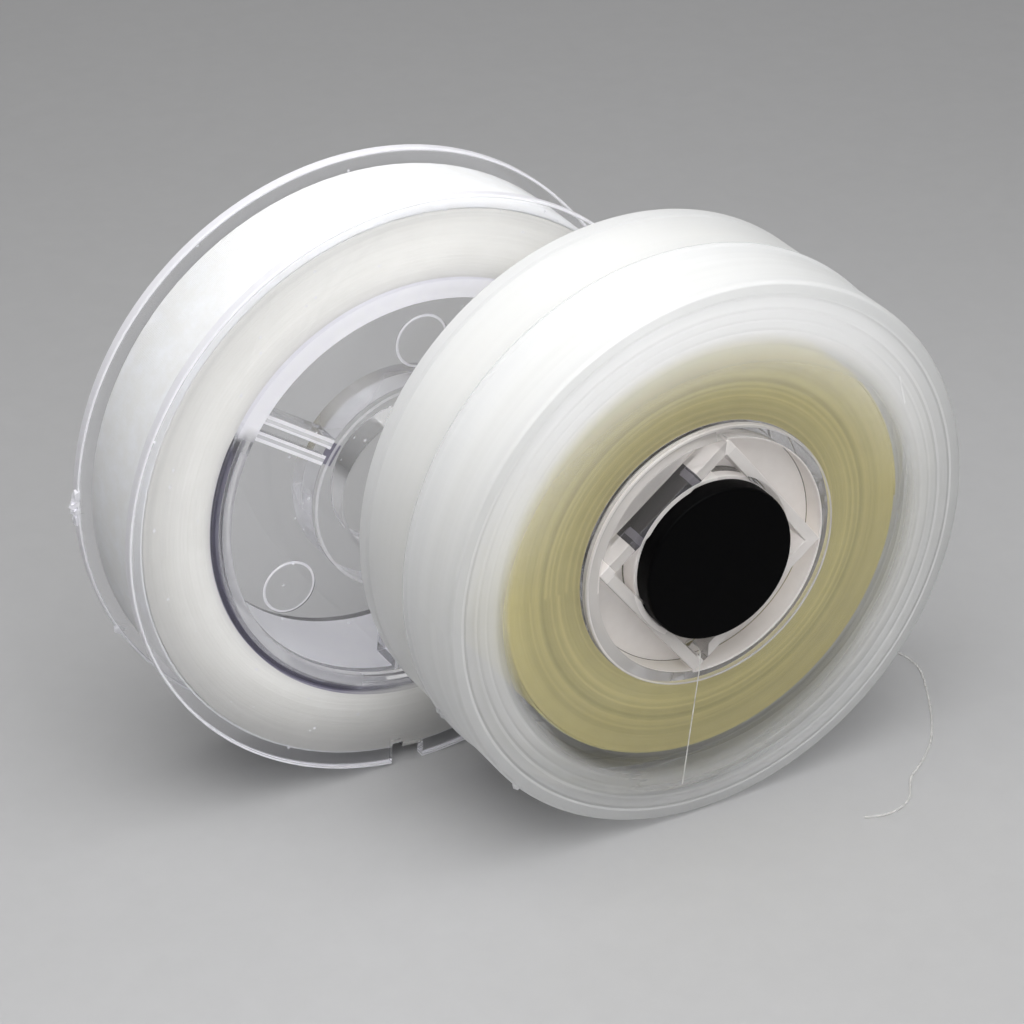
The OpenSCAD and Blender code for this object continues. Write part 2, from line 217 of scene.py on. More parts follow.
# helpers for the finishes
class Signal:
    # wraps a socket, so that arithmetic on it adds Math nodes
    def __init__(self, look, socket):
        self.look = look
        self.socket = socket

    def math(self, operation, *others):
        values = dict(enumerate((self, *others)))
        return self.look.node("ShaderNodeMath", {"operation": operation}, values)

    def __add__(self, other):
        return self.math("ADD", other)

    __radd__ = __add__

    def __sub__(self, other):
        return self.math("SUBTRACT", other)

    def __rsub__(self, other):
        return self.look.node("ShaderNodeMath", {"operation": "SUBTRACT"}, {0: other, 1: self})

    def __mul__(self, other):
        return self.math("MULTIPLY", other)

    __rmul__ = __mul__

    def __truediv__(self, other):
        return self.math("DIVIDE", other)

    def __pow__(self, other):
        return self.math("POWER", other)

    def out(self, name):
        return Signal(self.look, self.socket.node.outputs[name])


class Look:
    def __init__(self, name):
        self.material = bpy.data.materials.new(name)
        self.material.use_nodes = True
        self.tree = self.material.node_tree
        self.tree.nodes.clear()

    def node(self, kind, settings=None, values=None, out=0):
        made = self.tree.nodes.new(kind)
        for key, value in (settings or {}).items():
            if key == "stops":
                for stop, (place, colour) in zip(self.stopsFor(made, len(value)), value):
                    stop.position = place
                    stop.color = colour
            else:
                setattr(made, key, value)
        for key, value in (values or {}).items():
            if isinstance(value, Signal):
                self.tree.links.new(value.socket, made.inputs[key])
            else:
                made.inputs[key].default_value = value
        return Signal(self, made.outputs[out])

    def stopsFor(self, ramp, count):
        elements = ramp.color_ramp.elements
        while len(elements) < count:
            elements.new(0.5)
        return elements

    def show(self, shader):
        end = self.tree.nodes.new("ShaderNodeOutputMaterial")
        self.tree.links.new(shader.socket, end.inputs["Surface"])

    def place(self):
        return self.node("ShaderNodeTexCoord", out="Object")

    def xyz(self, vector):
        parts = self.node("ShaderNodeSeparateXYZ", values={0: vector})
        return parts, parts.out("Y"), parts.out("Z")

    def vector(self, x, y, z):
        return self.node("ShaderNodeCombineXYZ", values={0: x, 1: y, 2: z})

    def mixColour(self, factor, first, second, blend="MIX"):
        return self.node("ShaderNodeMix", {"data_type": "RGBA", "blend_type": blend},
                         {0: factor, 6: first, 7: second}, out=2)

    def noise(self, vector, scale, detail=3.0, roughness=0.5):
        return self.node("ShaderNodeTexNoise", values={
            "Vector": vector, "Scale": scale, "Detail": detail, "Roughness": roughness})

    def ramp(self, factor, stops):
        return self.node("ShaderNodeValToRGB", {"stops": stops}, {0: factor})

    def range(self, value, fromLow, fromHigh, toLow, toHigh):
        return self.node("ShaderNodeMapRange", values={
            0: value, 1: fromLow, 2: fromHigh, 3: toLow, 4: toHigh})

    def bump(self, height, strength, distance):
        return self.node("ShaderNodeBump", values={
            "Height": height, "Strength": strength, "Distance": distance})

    def principled(self, values):
        return self.node("ShaderNodeBsdfPrincipled", values=values)

    def mixShader(self, factor, first, second):
        return self.node("ShaderNodeMixShader", values={0: factor, 1: first, 2: second})

    def letLampsThrough(self, shader, colour):
        lamps = self.node("ShaderNodeLightPath", out="Is Shadow Ray")
        clear = self.node("ShaderNodeBsdfTransparent", values={"Color": colour})
        return self.mixShader(lamps, shader, clear)


def spoolCoordinates(look, place):
    # radius in mm, angle in turns, depth, distance across and height in mm, about a spool's axis
    x, y, z = look.xyz(look.place())
    across = (x - place["x"]) / mm
    up = (z - place["z"]) / mm
    radius = (across * across + up * up) ** 0.5
    angle = up.math("ARCTAN2", across) / (2 * math.pi)
    depth = (place["back"] - y) / mm
    return radius, angle, depth, across, up


def rgb(red, green, blue):
    return (red, green, blue, 1)


noiseSpan = (0.3, 0.7)    # most of a noise texture lies between these


def band(value, low, high):
    # 1 between two values and 0 outside them
    return value.math("GREATER_THAN", low) * value.math("LESS_THAN", high)


def marked(value, mark):
    # a share between two values: from, to, share
    low, high, share = mark
    return band(value, low, high) * share


def alongAndAside(across, up, angle):
    # the distance out along a direction and the distance off it
    turn = math.radians(angle)
    return across * math.cos(turn) + up * math.sin(turn), up * math.cos(turn) - across * math.sin(turn)


def leftArc(look, angle, start, full, hold, end):
    # an arc over the left side: in between the first two angles, out between the last two,
    # which are over 180, where the angle has jumped to -180
    above = look.range(angle, start / 360, full / 360, 0, 1)
    below = look.range(angle, hold / 360 - 1, end / 360 - 1, 1, 0)
    return above + angle.math("LESS_THAN", 0) * below


def clearPlastic(name, place, marks, glintsAndShadeOf):
    # clear mouldings: glass, with cloud painted where the plastic catches light (painted highlights and
    # glints, beside a little haze of its own) and a dark tint painted where it looks dark (painted
    # shade)
    look = Look(name)
    spot = look.place()
    waves = look.noise(spot, 60, 2)
    fine = look.noise(spot, 700, 3)
    where = spoolCoordinates(look, place)
    share, dark = glintsAndShadeOf(look, waves, *where)
    clean = look.mixColour(waves, rgb(0.975, 0.975, 0.985), rgb(0.99, 0.99, 1.0))
    # the glass is tinted dark, toward the shade tint, where shade is painted
    glass = look.principled({
        "Base Color": look.mixColour(dark, clean, marks["shadeTint"]),
        "Roughness": look.range(fine, 0.3, 0.8, *marks["rough"]),
        "IOR": marks["ior"],
        "Transmission Weight": 1.0,
        "Normal": look.bump(waves, 0.06, 0.0003),
    })
    # cloud: milky plastic, for a little haze of the plastic's own and for the painted highlights and
    # glints
    cloud = look.principled({
        "Base Color": look.mixColour(fine, *marks["cloud"]),
        "Roughness": 0.3,
        "Transmission Weight": 0.08,
        "IOR": 1.4,
    })
    shader = look.mixShader(share, glass, cloud)
    if "fade" in marks:
        low, high, most = marks["fade"]
        clear = look.node("ShaderNodeBsdfTransparent", values={"Color": rgb(0.97, 0.97, 0.97)})
        shader = look.mixShader(look.range(where[0], low, high, 0, most), shader, clear)
    look.show(look.letLampsThrough(shader, rgb(0.97, 0.973, 0.98)))
    return look


# where the clear spool's plastic looks bright or dark, in mm and degrees: cloud painted as highlights
# and glints, a dark tint painted as shade, beside a little haze and specks of its own; a mark of three
# figures is from, to and share, and depth counts from the back face
clearMarks = {
    "ior": 1.5,
    "rough": (0.015, 0.045),
    # cloud colours for the haze and the painted highlights; the shade tint for the painted shade
    "cloud": (rgb(0.9, 0.89, 0.96), rgb(0.98, 0.98, 1.0)),
    "shadeTint": rgb(0.16, 0.15, 0.24),
    "haze": (0.021, 0.039),
    # painted highlight: a bright line round the rim
    "rim": (34.62, 34.8, 0.85),
    "webDepth": (13.5, 14.1),
    "edgeFront": 13.6,               # the drum's edge is marked in front of this depth
    # painted highlights and shade on the drum's edge: a bright arc over the top, and down the left a
    # pale band, then a grey line and a dark tint of painted shade
    "drumEdgeHighlight": (23.05, 25.3, 0.97),
    "drumHighlightArc": (30, 64, 146, 151),   # rises between the first two angles, falls between the last two
    "lowEdgeHighlight": (23.05, 24.2, 0.28),  # the rest of the drum's edge, down the left
    "lowGreyShade": (24.2, 24.7, 0.35),
    "lowShadeTint": (24.7, 25.35, 1.0),
    "lowArc": (150, 154, 245, 275),
    # painted light: the inside of the drum, lit through the web
    "drumInsideLight": (23, 23.2, 1.0),
    "drumDepth": (1, 12.5),
    # painted highlights: streaked glints on the boss's wall, and a bright line round its front
    "boss": (12.3, 12.6, 0.55),
    "bossDepth": (7.4, 12.5),
    "bossRingHighlight": (12.2, 12.5, 0.45),
    # painted highlights: bright bars along each rib; painted shade: a dark wedge at its root
    "ribHighlightBars": ((0.42, 0.78, 1.0), (0.78, 1.16, 0.5), (1.16, 1.56, 1.0)),   # off the rib's middle
    "ribSpan": (12.9, 23.0),
    "ribRootShade": (11.9, 13.3, 1.0),
    "ribRootShadeHalf": 1.3,
    # painted highlight: a bright ring round each ejector pin's mark
    "pinRingHighlight": (2.86, 3.16, 0.7),
    "specks": (300, 0.05, 0.8),      # scale, size, share
}


def clearGlintsAndShade(look, waves, radius, angle, depth, across, up):
    # haze and specks of the plastic's own, with painted highlights and painted shade
    m = clearMarks
    web = band(depth, *m["webDepth"])
    edge = depth.math("GREATER_THAN", m["edgeFront"])
    low, high, most = m["rim"]
    # haze of the plastic's own, plus the rim's painted highlight
    share = look.range(waves, *noiseSpan, *m["haze"]) + look.range(radius, low, high, 0, most)
    # painted highlight along the drum's edge, over the top and down the left, and painted shade beside
    # it on the left
    rise, full, hold, fall = [a / 360 for a in m["drumHighlightArc"]]
    arc = look.range(angle, rise, full, 0, 1) * look.range(angle, hold, fall, 1, 0)
    left = leftArc(look, angle, *m["lowArc"])
    share += edge * (marked(radius, m["drumEdgeHighlight"]) * arc + marked(radius, m["lowEdgeHighlight"]) * left)
    dark = edge * left * (marked(radius, m["lowShadeTint"]) + marked(radius, m["lowGreyShade"]))
    # painted light on the inside of the drum
    share += marked(radius, m["drumInsideLight"]) * band(depth, *m["drumDepth"])
    # painted highlights on the boss
    streakedGlints = look.range(waves, 0.35, 0.65, 0.2, 1)
    share += marked(radius, m["boss"]) * band(depth, *m["bossDepth"]) * streakedGlints
    share += marked(radius, m["bossRingHighlight"]) * web
    # painted highlights along the ribs, and painted shade at their roots
    for rib in rear["ribAngles"]:
        along, aside = alongAndAside(across, up, rib)
        side = aside.math("ABSOLUTE")
        for bar in m["ribHighlightBars"]:
            share += marked(side, bar) * band(along, *m["ribSpan"]) * web
        dark += side.math("LESS_THAN", m["ribRootShadeHalf"]) * marked(along, m["ribRootShade"]) * web
    # painted highlights round the ejector pin marks
    for pin in rear["pinAngles"]:
        along, aside = alongAndAside(across, up, pin)
        along -= rear["pinRadius"]
        share += marked((along * along + aside * aside) ** 0.5, m["pinRingHighlight"]) * web
    scale, size, most = m["specks"]
    dots = look.node("ShaderNodeTexVoronoi", values={"Vector": look.place(), "Scale": scale})
    return share + dots.math("LESS_THAN", size) * most, dark


# the same for the reel's hub: painted highlights and a dark window of painted shade, beside the plate's
# milk and a little haze
hubMarks = {
    "ior": 1.42,
    "rough": (0.025, 0.075),
    # cloud colours for the plate's milk, a little haze and the painted highlights
    "cloud": (rgb(0.82, 0.78, 0.75), rgb(0.9, 0.865, 0.84)),
    "shadeTint": rgb(0.05, 0.05, 0.07),
    "fade": (24.7, 25.1, 0.88),      # the flange's edge, seen through the case
    "haze": (0.042, 0.078),
    "hazeTo": 15.7,
    "plate": (9.6, 14.05, 0.88),
    "plateDepth": (16.4, 17.95),
    "glassyArc": (84, 110, 195, 225),    # the plate is clearer here
    "glassy": 0.4,
    "frame": (9.8, 14.3, 0.82),
    "frameDepth": (17.95, 20.75),
    "frameAngles": (-90, 84),        # between these the frame looks like the plate
    "wall": (14.0, 14.2, 0.72),      # the ring's inside
    "wallDepth": (17.9, 20.5),
    # painted highlights on the ring: faint on the right, brighter over the left, and a bright line
    # along its edge
    "ring": (14.05, 15.68),
    "ringHighlightShare": (0.15, 0.55),       # on the right, on the left
    "ringFront": 20.3,
    "ringHighlightArc": (80, 130, 210, 260),
    "ringEdgeHighlight": (15.4, 15.7, 0.4),
    "ringEdgeDepth": (19.7, 20.8),
    # a dark window of painted shade beside the boss, with painted highlights on the frame's facets at
    # its ends
    "windowSide": 128,
    "windowSpan": (-4.9, 5.4),
    "windowOut": (8.5, 10.3),
    "facetHighlight": 0.35,
    # painted highlight: a bright bar on the frame's lower left wall
    "barSide": 218,
    "bar": (8.5, 10.2, 0.7),
    # painted highlights: the boss's bright rim, and a bright crescent beside the cap
    "bossRimHighlight": (8.3, 9.65, 0.85),
    "bossDepth": (18.9, 20.3),
    "crescentHighlight": (9.1, 9.9, 0.95),    # the bright edge beside the cap
    "crescentArc": (85, 235),
}


def hubGlintsAndShade(look, waves, radius, angle, depth, across, up):
    # haze and the plate's milk, with painted highlights and the window's painted shade
    m = hubMarks
    share = look.range(waves, *noiseSpan, *m["haze"]) * radius.math("LESS_THAN", m["hazeTo"])
    glassy = 1 - leftArc(look, angle, *m["glassyArc"]) * m["glassy"]
    share += marked(radius, m["plate"]) * band(depth, *m["plateDepth"]) * glassy
    above = band(depth, *m["frameDepth"]) * radius.math("LESS_THAN", m["frame"][1])
    right = band(angle, *[a / 360 for a in m["frameAngles"]])
    share += marked(radius, m["frame"]) * band(depth, *m["frameDepth"]) * right
    share += marked(radius, m["wall"]) * band(depth, *m["wallDepth"])
    # painted highlights on the ring and along its edge
    faint, bright = m["ringHighlightShare"]
    ring = band(radius, *m["ring"]) * depth.math("GREATER_THAN", m["ringFront"])
    share += ring * (leftArc(look, angle, *m["ringHighlightArc"]) * (bright - faint) + faint)
    share += marked(radius, m["ringEdgeHighlight"]) * band(depth, *m["ringEdgeDepth"])
    # painted shade in the window, and painted highlights on the facets beside it
    out, aside = alongAndAside(across, up, m["windowSide"])
    shadedWindow = band(out, *m["windowOut"]) * above
    inside = band(aside, *m["windowSpan"])
    share += shadedWindow * (1 - inside) * m["facetHighlight"]
    # painted highlight on the frame's lower left wall
    out = alongAndAside(across, up, m["barSide"])[0]
    share += marked(out, m["bar"]) * above
    # painted highlights on the boss's rim and beside the cap
    share += marked(radius, m["bossRimHighlight"]) * band(depth, *m["bossDepth"])
    low, high, bright = m["crescentHighlight"]
    start, end = m["crescentArc"]
    left = angle.math("GREATER_THAN", start / 360) + angle.math("LESS_THAN", end / 360 - 1)
    crescentHighlight = band(radius, low, high) * above * left.math("MINIMUM", 1)
    # the painted highlights, and the window's painted shade
    return share + crescentHighlight * bright, shadedWindow * inside * (1 - crescentHighlight)


# where the case's plastic is clear or milky, in mm and degrees, with some milk painted as light and
# shade
frosted = {
    "clearTo": (25.3, 27.2),         # straight-through inside the first radius
    "faceMilk": 0.5,
    "skirtFrom": (29.8, 31.2),
    "skirtMilk": 0.33,
    "flowScale": (0.7, 2.0),         # across the flow rings, and along them
    "mottle": (0.06, 0.05, 0.25),    # share of flow, share of cloud, and what is left in the middle
    "backLess": (0.03, 0.06),        # the back shell is a little clearer, and more so with the flow
    "seamLine": (10.95, 11.25, 0.3),
    "colours": (rgb(0.79, 0.795, 0.8), rgb(0.87, 0.875, 0.88)),
    "faceColour": rgb(0.95, 0.95, 0.955),
    "glow": 0.25,
    "roundFrom": 24.0,               # the face rounds over outwards from here
    "round": 0.045,
    "scratch": (31.5, 27.7, 2.0, -75),    # angle, radius, half length, slope
    "scratchHalf": 0.1,
    # radius, half width and depth of each groove in the face
    "rings": (
        (26.9, 0.3, 0.05),
        (28.1, 0.25, 0.05),
        (29.25, 0.3, 0.1),
        (30.85, 0.28, 0.13),
    ),
    # painted light: milkier, and so brighter, towards the top, where the light falls
    "topLightVeil": (2, 27, 0.55),           # milkier upwards: from height, to height, share
    "veilOut": (19.5, 26.5),
    # painted shade: clearer, and so darker, towards the bottom
    "bottomShade": (-15, -29, 0.38),      # clearer downwards
    "bottomOut": (28.5, 30),
}


def frostedPlastic(name, place):
    # milky polypropylene: clear over the line, milk towards the edge, with faint flow rings
    look = Look(name)
    m = frosted
    radius, angle, depth, across, up = spoolCoordinates(look, place)
    scale, turns = m["flowScale"]
    flow = look.noise(look.vector(radius * scale, angle * turns, depth * scale), 1.0, 2)
    cloud = look.noise(look.place(), 45, 2)
    shoulder = look.range(radius, *m["clearTo"], 0, 1)
    skirt = look.range(radius, *m["skirtFrom"], 0, 1)
    flowShare, cloudShare, least = m["mottle"]
    mottle = (flow * flowShare + cloud * cloudShare) * (shoulder * (1 - least) + least)
    milkiness = shoulder * m["faceMilk"] + skirt * m["skirtMilk"] + mottle
    # painted light: more milk towards the top
    low, high, most = m["topLightVeil"]
    topLightVeil = look.range(up, low, high, 0, most) * look.range(radius, *m["veilOut"], 0, 1)
    milkiness += topLightVeil * (1 - skirt)
    # painted shade: less milk towards the bottom
    low, high, most = m["bottomShade"]
    bottomShade = look.range(up, low, high, 0, most) * look.range(radius, *m["bottomOut"], 1, 0)
    less, withFlow = m["backLess"]
    back = depth.math("LESS_THAN", case["seam"]) * (less + flow * withFlow)
    milkiness -= bottomShade + back + marked(depth, m["seamLine"]) * skirt
    at, out, half, slope = m["scratch"]
    here = math.radians(at)
    along, aside = alongAndAside(across - out * math.cos(here), up - out * math.sin(here), slope)
    scratch = look.range(along.math("ABSOLUTE"), half * 0.6, half, 0.5, 0)
    milkiness += scratch * band(aside, -m["scratchHalf"], m["scratchHalf"])
    over = (radius - m["roundFrom"]).math("MAXIMUM", 0)
    height = 0 - over * over * m["round"]
    for middle, half, groove in m["rings"]:
        height -= look.range((radius - middle).math("ABSOLUTE"), 0, half, groove, 0)
    milk = look.principled({
        "Base Color": look.mixColour(skirt, m["faceColour"], look.mixColour(flow, *m["colours"])),
        "Roughness": look.range(cloud, *noiseSpan, 0.36, 0.46),
        "IOR": 1.4,
        "Coat Weight": 0.2,
        "Coat Roughness": 0.2,
        "Normal": look.bump(height, 1.0, mm),
    })
    glow = look.node("ShaderNodeBsdfTranslucent", values={"Color": m["colours"][1]})
    clear = look.node("ShaderNodeBsdfTransparent", values={"Color": rgb(0.96, 0.96, 0.96)})
    shader = look.mixShader(milkiness, clear, look.mixShader(m["glow"], milk, glow))
    look.show(look.letLampsThrough(shader, rgb(0.86, 0.86, 0.86)))
    return look


# what shows in wound line: noises that follow it, and the light and dark that they bring
lineMarks = {
    # across the turns, along them, scale, detail, roughness
    "lay": (2.4, 2.0, 2.2, 4, 0.6),
    "rings": (0.9, 0.3, 1.6, 3, 0.6),
    "fleece": (420, 4, 0.65),
    "mix": (0.6, 0.4),               # of lay and fleece
    "ringTone": (0.47, 0.66, 0.75),
    "skinFrom": (-0.05, 0.1),        # from the core's radius
    "skinFleece": (0.3, 0.6, 1, 0.6),
    "relief": (0.08, 0.05),          # of the strand, and of the rings in mm
}


def woundLine(name, place, winding):
    # layers of fine line: sides that swell and round over, soft rings, a fine lay along the turns
    look = Look(name)
    w = winding
    light, dark = w["colours"]
    radius, angle, depth = spoolCoordinates(look, place)[:3]
    m = lineMarks
    aside, along, *grain = m["lay"]
    lay = look.noise(look.vector(radius * aside, angle * along, depth * aside), *grain)
    aside, along, *grain = m["rings"]
    rings = look.noise(look.vector(radius * aside, angle * along, 0.0), *grain)
    fleece = look.noise(look.place(), *m["fleece"])
    layShare, fleeceShare = m["mix"]
    mixed = look.range(lay * layShare + fleece * fleeceShare, *noiseSpan, 0, 1)
    # painted shade: tones by radius multiplied into the colour, darker near the khaki line's inner edge
    # and towards the white line's rim
    shade = look.ramp(look.range(radius, w["inner"], w["outer"], 0, 1),
                      [(out, rgb(tone, tone, tone)) for out, tone in w["shade"]])
    colour = look.mixColour(1.0, look.mixColour(mixed, dark, light), shade, "MULTIPLY")
    low, high, most = m["ringTone"]
    colour = look.mixColour(look.range(rings, low, high, 0, most), colour, dark)
    outside = look.range(radius, *[w["core"] + step for step in m["skinFrom"]], 0, 1)
    colour = look.mixColour(outside * look.range(fleece, *m["skinFleece"]), colour, w["skin"])
    fromCrown = radius.math("MINIMUM", w["core"]) - w["crown"]
    fromHalf = depth - (w["low"] + w["high"]) / 2
    swell = 0 - fromCrown * fromCrown * w["swell"] - fromHalf * fromHalf * w["endSwell"]
    strand, ring = m["relief"]
    look.show(look.principled({
        "Base Color": colour,
        "Roughness": look.range(lay, *noiseSpan, 0.4, 0.55),
        "IOR": 1.5,
        "Specular IOR Level": w["gloss"],
        "Normal": look.bump(swell + (lay + fleece) * w["wire"] * strand + rings * ring, 1.0, mm),
    }))
    return look


def singleLine(name, seen):
    # one strand, so fine that only a share of it shows
    look = Look(name)
    marks = look.noise(look.place(), 700, 3)
    shine = look.principled({
        "Base Color": look.mixColour(marks, rgb(0.8, 0.79, 0.76), rgb(0.97, 0.96, 0.93)),
        "Roughness": look.range(marks, *noiseSpan, 0.15, 0.35),
        "IOR": 1.53,
    })
    clear = look.node("ShaderNodeBsdfTransparent", values={"Color": rgb(0.98, 0.98, 0.98)})
    share = look.range(marks, *noiseSpan, seen * 0.6, seen * 1.4)
    look.show(look.mixShader(share, clear, shine))
    return look


def blackPlastic(name):
    look = Look(name)
    grain = look.noise(look.place(), 2200, 3, 0.6)
    wear = look.noise(look.place(), 140, 4)
    worn = look.range(wear, 0.5, 0.8, 0, 0.5)
    look.show(look.principled({
        "Base Color": look.mixColour(worn, rgb(0.001, 0.001, 0.0012), rgb(0.003, 0.003, 0.0035)),
        "Roughness": look.range(grain + wear * 0.6, 0.5, 1.1, 0.42, 0.6),
        "IOR": 1.45,
        "Specular IOR Level": 0.05,
        "Normal": look.bump(grain, 0.15, 0.00004),
    }))
    return look


def paleFloor(name):
    look = Look(name)
    speck = look.noise(look.place(), 300, 3)
    look.show(look.principled({
        "Base Color": look.mixColour(speck, rgb(0.44, 0.44, 0.445), rgb(0.47, 0.47, 0.475)),
        "Roughness": 0.6,
    }))
    return look


# the loose tail, in mm and degrees
tail = {
    "diameter": 0.3,
    "slitAngle": -70,
    "slitDepth": 11.5,               # from the case's back face to the middle of the slit
    "seen": 0.28,
    "straight": 0.5,                 # straight out of the slit
    "fall": (0.55, 0, -1.1),         # from the slit
    "landing": (1.2, 0.05, 0.12),    # across and back from the slit, and up from the table
    # the same route as in the part's source, x and y on the table
    "route": [
        (36.2, -22.2), (39, -20.8), (42.5, -18.9), (46, -17), (49.5, -15.2), (53, -13.8), (56.2, -13.4),
        (58.6, -14.4), (59.8, -16.4), (60.2, -18.7), (59.8, -21.2), (58.2, -24.6), (56.2, -28.2),
        (54.3, -31.2), (52.2, -33.9), (50.3, -35.7), (48.4, -37.2), (46, -38.8), (44.6, -40.6),
        (43.3, -42.2), (41.2, -43.3), (38.9, -43.5), (36.8, -42.8),
    ],
}


def smoothRoute(points, parts):
    # a curve through the points, each stretch cut into the same number of parts
    smooth = []
    last = len(points) - 1
    for i in range(last):
        a, b, c, d = (points[max(i - 1, 0)], points[i], points[i + 1], points[min(i + 2, last)])
        for k in range(parts):
            t = k / parts
            smooth.append(0.5 * (2 * b + t * (c - a) + t * t * (2 * a - 5 * b + 4 * c - d)
                                 + t ** 3 * (3 * b - a - 3 * c + d)))
    return smooth + [points[last]]


def strandCurve(name, points, diameter):
    line = bpy.data.curves.new(name, "CURVE")
    line.dimensions = "3D"
    line.bevel_depth = diameter * mm / 2
    line.bevel_resolution = 3
    line.use_fill_caps = True
    spline = line.splines.new("POLY")
    spline.points.add(len(points) - 1)
    for point, place in zip(spline.points, points):
        point.co = (*place, 1)
    piece = bpy.data.objects.new(name, line)
    bpy.context.scene.collection.objects.link(piece)
    return piece


def makeTail():
    level = floorLevel + tail["diameter"] * mm / 2
    exitAt = onSpool(casePlace, case["ridge"], tail["slitDepth"], tail["slitAngle"])
    turn = math.radians(tail["slitAngle"])
    outwards = Vector((math.cos(turn), 0, math.sin(turn)))
    across, back, up = tail["landing"]
    drop = [
        exitAt,
        exitAt + outwards * tail["straight"] * mm,
        exitAt + Vector(tail["fall"]) * mm,
        Vector((exitAt.x + across * mm, exitAt.y + back * mm, level + up * mm)),
    ]
    points = drop + smoothRoute([Vector((x * mm, y * mm, level)) for x, y in tail["route"]], 5)
    length = sum((b - a).length for a, b in zip(points, points[1:]))
    piece = strandCurve("lineTail", points, tail["diameter"])
    dressed(piece, tailLook, "case", "loose_line", "line_tail")


# the clear spool, in mm and degrees
rear = {
    "flange": 1.2,                   # thickness
    "fit": 0.02,                     # between the two mouldings
    "collarOuter": 24.1,
    "collarInner": 23.1,
    "drumOuter": 25.2,
    "drumInner": 24.15,
    "webFront": 13.8,
    "webBack": 12.6,
    "bossRadius": 12.45,
    "bossBack": 7.5,
    "bossRaised": (0.3, 0.1),        # in from the boss's edge, and up from the web
    "boreRadius": 8.75,
    "boreEdge": (0.5, 0.4),          # out from the bore, and down from the web
    "ribAngles": (26, 146, 266),
    "ribWidth": 3.0,
    "ribBack": 8.9,
    "ribGroove": (0.8, 1.0, 1.24),   # in from the rib's ends, width, depth
    "overlap": (0.4, 0.5),           # of a rib into the boss and collar, and into the web
    "pinRadius": 17.9,
    "pinMark": 3.05,
    "pinGroove": (0.14, 0.12),       # half width, depth
    "pinAngles": (87, 207, 327),
    "edge": 0.12,                    # bevel on moulded edges
    "notchAngle": 266,
    "notch": (4.0, 2.1),             # width, depth
    "notchStep": (1.33, 2.8),
    # angle, radius, depth and size of each lump on the back rim
    "burrs": (
        (178.0, 34.7, 0.85, (2.4, 0.9, 1.0)),
        (179.4, 34.7, 0.7, (1.7, 1.3, 0.9)),
        (176.3, 34.75, 0.95, (1.5, 1.0, 1.9)),
        (181.4, 34.85, 0.6, (0.9, 1.1, 1.6)),
        (207, 34.7, 0.95, (1.3, 0.9, 1.2)),
    ),
}


def cutPinMark(piece, place, angle):
    # the round groove that an ejector pin leaves
    r = rear
    half, down = r["pinGroove"]
    centre = onSpool(place, r["pinRadius"], 0, angle)
    at = {"x": centre.x, "z": centre.z, "back": place["back"]}
    inner, outer = r["pinMark"] - half, r["pinMark"] + half
    low, high = r["webFront"] - down, r["webFront"] + past
    ring = spinProfile("ring", at, [(inner, low), (outer, low), (outer, high), (inner, high)], 48)
    combine(piece, ring, "DIFFERENCE")


def addRib(piece, place, angle):
    r = rear
    intoBoss, intoWeb = r["overlap"]
    rib = slab(place, angle, r["bossRadius"] - intoBoss, r["collarInner"] + intoBoss, r["ribWidth"],
               r["ribBack"], r["webBack"] + intoWeb)
    combine(piece, rib, "UNION")
    ends, width, down = r["ribGroove"]
    groove = slab(place, angle, r["bossRadius"] + ends, r["collarInner"] - ends, width,
                  r["webFront"] - down, r["webFront"] + past)
    combine(piece, groove, "DIFFERENCE")


def cutNotch(piece, place, size, side=0.0):
    width, inwards = size
    rim = place["radius"] / mm
    front = place["width"] / mm
    notch = slab(place, rear["notchAngle"], rim - inwards, rim + past, width,
                 front - rear["flange"] - past, front + past, side)
    combine(piece, notch, "DIFFERENCE")


def makeRearFrontHalf():
    r, place = rear, rearPlace
    width = place["width"] / mm
    rim = place["radius"] / mm
    inwards, raised = r["bossRaised"]
    outwards, down = r["boreEdge"]
    piece = spinProfile("rearFrontHalf", place, [
        (r["boreRadius"], r["bossBack"]),
        (r["bossRadius"], r["bossBack"]),
        (r["bossRadius"], r["webBack"]),
        (r["collarInner"], r["webBack"]),
        (r["collarInner"], r["flange"] + r["fit"]),
        (r["collarOuter"], r["flange"] + r["fit"]),
        (r["collarOuter"], width - r["flange"]),
        (rim, width - r["flange"]),
        (rim, width),
        (r["collarInner"], width),
        (r["collarInner"], r["webFront"]),
        (r["bossRadius"], r["webFront"]),
        (r["bossRadius"] - inwards, r["webFront"] + raised),
        (r["boreRadius"] + outwards, r["webFront"] + raised),
        (r["boreRadius"], r["webFront"] - down),
    ])
    bevelEdges(piece, r["edge"])
    for angle in r["ribAngles"]:
        addRib(piece, place, angle)
    for angle in r["pinAngles"]:
        cutPinMark(piece, place, angle)
    cutNotch(piece, place, r["notch"])
    cutNotch(piece, place, r["notchStep"], -r["notchStep"][0])
    smoothShade(piece)
    dressed(piece, clearLook, "rear_spool", "clear_plastic", "rear_front_half")


def addBurr(piece, place, angle, radius, depth, size, weld=True):
    # a torn lump of plastic left where the part was cut off its sprue
    deselectAll()
    bpy.ops.mesh.primitive_ico_sphere_add(
        subdivisions=2, radius=mm / 2, location=onSpool(place, radius, depth, angle),
        rotation=(0, -math.radians(angle), 0), scale=size)
    bpy.ops.object.transform_apply(location=True, rotation=True, scale=True)
    lump = bpy.context.object
    bpy.ops.object.mode_set(mode="EDIT")
    bpy.ops.mesh.select_all(action="SELECT")
    bpy.ops.transform.vertex_random(offset=0.2 * mm, uniform=1.0, seed=4)
    bpy.ops.object.mode_set(mode="OBJECT")
    if weld:
        combine(piece, lump, "UNION")
    else:
        piece.select_set(True)
        bpy.context.view_layer.objects.active = piece
        bpy.ops.object.join()


